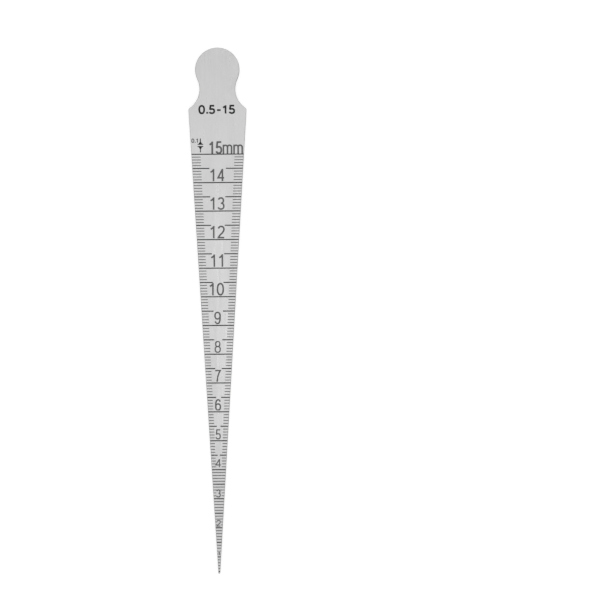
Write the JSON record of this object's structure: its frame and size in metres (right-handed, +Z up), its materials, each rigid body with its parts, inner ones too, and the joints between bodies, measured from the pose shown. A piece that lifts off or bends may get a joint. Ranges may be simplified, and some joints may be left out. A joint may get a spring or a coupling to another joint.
{
  "type": "taper gauge",
  "caption": "Flat steel taper gauge: a slender pointed blade with a round head and thumb notches, engraved with metric and inch lines that read the width of a hole, slot or gap.",
  "frame": {"origin": "middle of the bounding box on the underside, which rests on the surface", "axes": "+Y along the blade from the tip to the head, +Z up out of the metric face, +X to the right as the metric face is read"},
  "size_m": [0.0166, 0.15, 0.0012],
  "materials": {
    "steel": "satin, brushed along the blade, lines filled dark"
  },
  "bodies": {
    "root": {"taper_gauge": "steel"}
  },
  "joints": []
}
